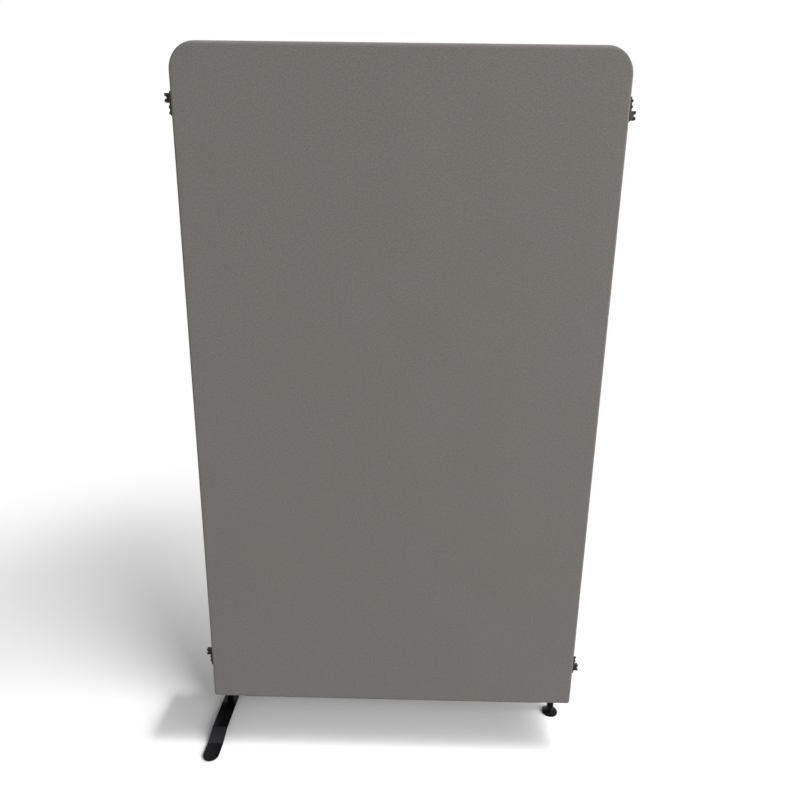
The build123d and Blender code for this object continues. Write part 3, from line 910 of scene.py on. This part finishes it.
padding = {
    "finish": "wadding",
    "slot": "wadding",
    "inset": 0.0013,
    "outer": 0.0137,
    "inner": 0.0100,
    "roll": 0.0030,
    "rimRows": 7,
    "leastRadius": 0.0005,
    "fluff": 0.00030,
    "fluffWaves": (18, 0.012, 0.09),    # how many, the shortest and the longest
    "fill": 0.45,
    "bottomStep": 0.004,
    "stepsAcross": (10, 74, 10),
    "stepsUp": (3, 130, 10),
}


def paddingPiece(name, node, facing, seed, want, panel):
    # The panel's outline drawn in a little, from the cover's face inwards.
    box, radii = panelOutline(panel, want["inset"])
    roll = want["roll"]
    left, right, bottom, top = box[0] + roll, box[1] - roll, box[2] + roll, box[3] - roll
    spread = radii[1] - roll
    (toLeft, across, toRight), (foot, up, head) = want["stepsAcross"], want["stepsUp"]
    steps = ((left, toLeft, left + spread, across, right - spread, toRight, right),
             (bottom, foot, bottom + want["bottomStep"], up, top - spread, head, top))
    depth = sorted((facing * want["outer"], facing * want["inner"]))
    softSlab(name, node, box, radii, depth, steps, seed, want)


paddingPiece("front_padding", "front_wadding", -1, 21, padding, cover)
paddingPiece("rear_padding", "rear_wadding", 1, 23, padding, cover)

filling = {
    "finish": "filling",
    "slot": "absorber",
    "roll": 0.0016,
    "rimRows": 7,
    "leastRadius": 0.0005,
    "sideRadius": 0.001,        # past the roll
    "cornerRadius": 0.014,
    "fluff": 0.00022,
    "fluffWaves": (18, 0.012, 0.09),
    "fill": 0.95,
    "rimStep": 0.003,
    "stepsAcross": (4, 76, 4),
    "stepsUp": (3, 62, 4),
}


def fillingPiece(name, node, seed, want, roundTop):
    # A slab that fills its node's box but for its fluff.
    low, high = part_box(node)
    box = (low.x, high.x, low.z, high.z)
    roll, sideRadius = want["roll"], want["roll"] + want["sideRadius"]
    radii = (sideRadius, want["cornerRadius"] if roundTop else sideRadius)
    spread = max(radii[1] - roll, want["rimStep"])
    left, right, bottom, top = box[0] + roll, box[1] - roll, box[2] + roll, box[3] - roll
    (toLeft, across, toRight), (foot, up, head) = want["stepsAcross"], want["stepsUp"]
    steps = ((left, toLeft, left + spread, across, right - spread, toRight, right),
             (bottom, foot, bottom + want["rimStep"], up, top - spread, head, top))
    depth = (low.y + want["fluff"] * 2, high.y - want["fluff"] * 2)
    softSlab(name, node, box, radii, depth, steps, seed, want)


fillingPiece("upper_filling", "upper_core", 31, filling, True)
fillingPiece("lower_filling", "lower_core", 37, filling, False)
print("padding and filling laid")


# Seam stitches between the two halves of the cover

stitch = {
    "thread": 0.00034,          # radius
    "thin": 0.35,               # share of the radius that is left where it dives
    "length": 0.0032,
    "sunk": 0.00055,
    "leastArch": 0.02,
    "sides": 6,
    "rows": 5,
}


def seamPath(panel, spacing):
    # The outline from the bottom left corner up, over the top and down, at even steps.
    half, radius, top = panel["halfWidth"], panel["topRadius"], panel["top"]
    low = panel["bottom"] + panel["bottomRadius"]
    straight, quarter = top - radius - low, radius * np.pi / 2
    lengths = np.array([straight, quarter, 2 * (half - radius), quarter, straight])
    stops = np.concatenate([[0], np.cumsum(lengths)])
    count = int(stops[-1] / spacing)
    s = np.arange(count) * stops[-1] / (count - 1)
    leg = np.clip(np.searchsorted(stops, s, side="right") - 1, 0, 4)
    t = s - stops[leg]
    turn, one = t / radius, np.ones_like(t)
    x = np.choose(leg, [-half * one, -half + radius - radius * np.cos(turn),
                        -half + radius + t, half - radius + radius * np.sin(turn), half * one])
    z = np.choose(leg, [low + t, top - radius + radius * np.sin(turn), top * one,
                        top - radius + radius * np.cos(turn), top - radius - t])
    outX = np.choose(leg, [-one, -np.cos(turn), 0 * one, np.sin(turn), one])
    outZ = np.choose(leg, [0 * one, np.sin(turn), one, np.cos(turn), 0 * one])
    return s, np.stack([x, z], -1), np.stack([outX, outZ], -1)


def seamStitches(want, panel):
    # A thread along the seam. Its radius and its height above the groove follow half a sine
    # over each stitch, so that it dives into the cloth between them.
    s, place, out = seamPath(panel, want["length"] / want["rows"])
    phase = (s / want["length"]) % 1.0
    arch = np.sqrt(np.clip(np.sin(phase * np.pi), want["leastArch"], 1))
    radius = want["thread"] * (want["thin"] + (1 - want["thin"]) * arch)
    lift = -want["sunk"] * (2.0 - arch)
    angle = np.arange(want["sides"]) * 2 * np.pi / want["sides"]
    sideways = radius[:, None] * np.cos(angle)
    upward = lift[:, None] + radius[:, None] * np.sin(angle)
    x = place[:, :1] + out[:, :1] * upward
    z = place[:, 1:] + out[:, 1:] * upward
    points = np.stack([x, sideways, z], -1).reshape(-1, 3)
    around = np.broadcast_to(angle / (2 * np.pi), x.shape)
    maps = {"cloth": pairs(np.broadcast_to(s[:, None], x.shape), around)}
    faces = [gridFaces(len(s), want["sides"], closed=True)]
    return newPiece("cover_stitches", points, faces, "thread", "screen", maps)


coverStitches = seamStitches(stitch, cover)
print("seam sewn,", len(coverStitches.data.polygons), "faces")


# Glide: threaded stud and lock nut

def roundPoints(node, radius, z):
    # Rings round the upright middle line of a node's box, and that line's place.
    low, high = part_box(node)
    middleX, middleY = (low.x + high.x) / 2, (low.y + high.y) / 2
    sides = radius.shape[1]
    angle = np.arange(sides)[None, :] * 2 * np.pi / sides
    x, y = middleX + radius * np.cos(angle), middleY + radius * np.sin(angle)
    return np.stack([x, y, np.broadcast_to(z, x.shape)], -1).reshape(-1, 3), (middleX, middleY)


screwThread = {
    "radius": 0.00398,
    "pitch": 0.00125,
    "depth": 0.00068,
    "toothSteep": 1.25,
    "toothFlat": 0.12,          # how much of the crest is cut off
    "sides": 28,
    "rowsPerTurn": 7,
    "tip": 0.0008,
}


def threadedStud(name, node, body, want):
    # A rod whose radius dips by a rounded saw tooth. The tooth's place is the height in
    # pitches less the turn round the rod, so that it winds up as one helix.
    low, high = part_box(node)
    sides = want["sides"]
    rows = int((high.z - low.z) / want["pitch"] * want["rowsPerTurn"])
    z = np.linspace(low.z, high.z, rows)[:, None]
    turn = np.arange(sides)[None, :] / sides
    tooth = np.abs(((z / want["pitch"] - turn) % 1.0) * 2 - 1)
    tooth = np.clip(tooth * want["toothSteep"] - want["toothFlat"], 0, 1)
    taper = np.maximum(want["tip"] - np.minimum(z - low.z, high.z - z), 0)
    radius = np.minimum(want["radius"] - want["depth"] * tooth, want["radius"] - taper)
    points, middle = roundPoints(node, radius, z)
    ends = np.array([[*middle, low.z], [*middle, high.z]])
    ring = np.arange(sides)
    last = ring + (rows - 1) * sides
    lowEnd, highEnd = (np.full_like(ring, rows * sides + k) for k in (0, 1))
    faces = [gridFaces(rows, sides, closed=True),
             np.stack([lowEnd, np.roll(ring, -1), ring], -1),
             np.stack([highEnd, last, np.roll(last, -1)], -1)]
    points = np.concatenate([points, ends])
    piece = newPiece(name, points, faces, "blackZinc", body)
    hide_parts(node)


threadedStud("threaded_stud", "glide_stud", "glide", screwThread)

nut = {
    "acrossFlats": 0.013,
    "bore": 0.0042,
    "boreBevel": 0.0005,
    "crown": 0.0064,            # radius of the cone where it meets the end
    "cone": 0.58,               # height over width of the cone
    "coneHeight": 0.0008,
    "coneRows": 5,
    "sides": 72,
    "sharpAngle": 28.0,         # degrees
}


def lockNut(name, node, body, want):
    # Round the nut the radius is that of a hexagon, cut at both ends by a cone: the least of
    # half the width over the cosine of the angle from the nearest flat, and the crown's
    # radius plus the height in from the end over the cone's slope. The bore is bevelled.
    low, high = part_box(node)
    tall, sides, bevel = high.z - low.z, want["sides"], want["boreBevel"]
    angle = np.arange(sides)[None, :] * 2 * np.pi / sides
    sixth = np.pi / 3
    fromFlat = (angle + sixth / 2) % sixth - sixth / 2
    hexagon = want["acrossFlats"] / 2 / np.cos(fromFlat)
    cone, rows = want["coneHeight"], want["coneRows"]
    height = np.concatenate([np.linspace(0, cone, rows), np.linspace(tall - cone, tall, rows)])
    height = height[:, None]
    inFromEnd = np.minimum(height, tall - height)
    outer = np.minimum(hexagon, want["crown"] + inFromEnd / want["cone"])
    bore = np.full_like(outer[:1], want["bore"])
    wide = bore + bevel
    radius = np.concatenate([outer, wide, bore, bore, wide])
    z = np.concatenate([height.ravel(), [tall, tall - bevel, bevel, 0.0]])[:, None]
    points, _ = roundPoints(node, radius, low.z + z)
    first = np.arange(sides)
    last = first + (len(z) - 1) * sides
    faces = [gridFaces(len(z), sides, closed=True), ringFaces(last, first)]
    piece = newPiece(name, points, faces, "blackZinc", body)
    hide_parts(node)
    piece.data.set_sharp_from_angle(angle=math.radians(want["sharpAngle"]))


lockNut("lock_nut", "glide_lock_nut", frame["nodes"]["glide_lock_nut"]["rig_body"], nut)
print("stud and nut turned")


# Floor, and a card that dims the light under the panel

def stageGrid(name, x, y, height, material):
    # A level grid that isn't part of the object.
    points = np.stack([x, y, np.full_like(x, height)], -1).reshape(-1, 3)
    mesh = bpy.data.meshes.new(name)
    mesh.from_pydata(points.tolist(), [], gridFaces(*x.shape).tolist())
    made = bpy.data.objects.new(name, mesh)
    bpy.context.collection.objects.link(made)
    made.data.materials.append(material)
    return made


floor = {
    "reach": 30.0,
    "cells": 24,
    "grey": 0.52,
    "seenAs": 0.93,
    "middle": (-0.5, 0.0, 0.0),
    "whiteFrom": 1.0,           # away from the middle
    "whiteAt": 2.1,
}


def layFloor(want):
    # Straight looks see the floor nearly white, and unlit white from a distance on. From
    # underneath it can't be seen.
    line = np.linspace(-want["reach"], want["reach"], want["cells"] + 1)
    material, start = startMaterial("floor")
    seen = start.node("LightPath", out="Is Camera Ray")
    seen = seen.maths("MAXIMUM", seen.also("Is Transmission Ray"))
    place = start.node("TexCoord", out="Object")
    distance = {"operation": "DISTANCE"}
    away = place.node("VectorMath", distance, {0: place, 1: want["middle"]}, "Value")
    far = away.step(want["whiteFrom"], want["whiteAt"]) * seen
    colour = seen.mix([want["grey"]] * 3, [want["seenAs"]] * 3)
    lit = start.node("BsdfDiffuse", {}, {"Color": colour})
    white = start.node("Emission", {}, {"Color": grey(1.0), "Strength": 1.0})
    top = start.node("MixShader", {}, {0: far, 1: lit, 2: white})
    under = start.node("NewGeometry", out="Backfacing")
    clear = start.node("BsdfTransparent")
    both = start.node("MixShader", {}, {0: under, 1: top, 2: clear})
    start.node("OutputMaterial", {}, {"Surface": both})
    stageGrid("floor", *np.meshgrid(line, line), 0.0, material)


flag = {
    "x": (-0.605, 0.46),
    "y": (-0.147, 0.01),
    "height": 0.036,
    "clear": 0.23,              # share of the light that goes through
    "grey": 0.7,
}


def hangFlag(want):
    # A level card that nothing sees. Some of the light towards the floor stops at it.
    material, start = startMaterial("flag")
    card = start.node("BsdfDiffuse", {}, {"Color": grey(want["grey"])})
    clear = start.node("BsdfTransparent")
    dim = start.node("MixShader", {}, {0: want["clear"], 1: card, 2: clear})
    start.node("OutputMaterial", {}, {"Surface": dim})
    made = stageGrid("flag", *np.meshgrid(want["x"], want["y"]), want["height"], material)
    made.visible_camera = made.visible_glossy = made.visible_transmission = False


layFloor(floor)
hangFlag(flag)
bpy.context.scene.view_settings.view_transform = "Standard"
print("floor laid")
